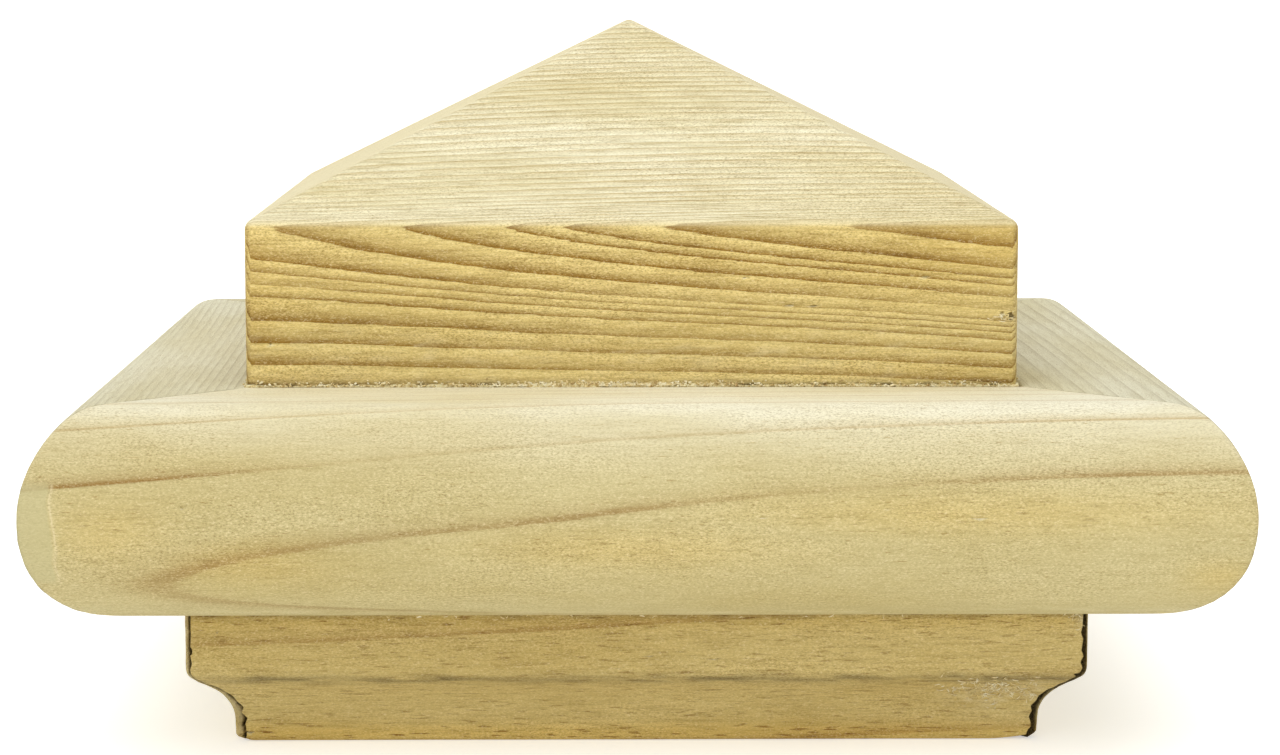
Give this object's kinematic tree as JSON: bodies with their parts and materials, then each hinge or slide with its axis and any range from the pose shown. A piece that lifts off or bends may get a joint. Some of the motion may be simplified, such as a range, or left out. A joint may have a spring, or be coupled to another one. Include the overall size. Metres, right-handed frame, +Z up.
{
  "type": "post cap",
  "caption": "Square timber post cap: a shallow pyramid block wrapped by mitred mouldings with a rounded nose, step and cove, open below as a socket for a square post.",
  "frame": {"origin": "centre of the square opening, in the plane of the bottom rim", "axes": "+Z up along the post's axis, towards the point of the pyramid; the front moulding faces -Y and +X is to its right"},
  "size_m": [0.1404, 0.1404, 0.0854],
  "materials": {
    "block_pine": "planed, honey-coloured softwood",
    "moulding_pine": "machined softwood with a pale green preservative tint",
    "brad_steel": "galvanised wire"
  },
  "bodies": {
    "root": {"pyramid_block": "block_pine", "front_moulding": "moulding_pine", "right_moulding": "moulding_pine", "back_moulding": "moulding_pine", "left_moulding": "moulding_pine", "mitre_brads": "brad_steel", "block_brads": "brad_steel"}
  },
  "joints": []
}
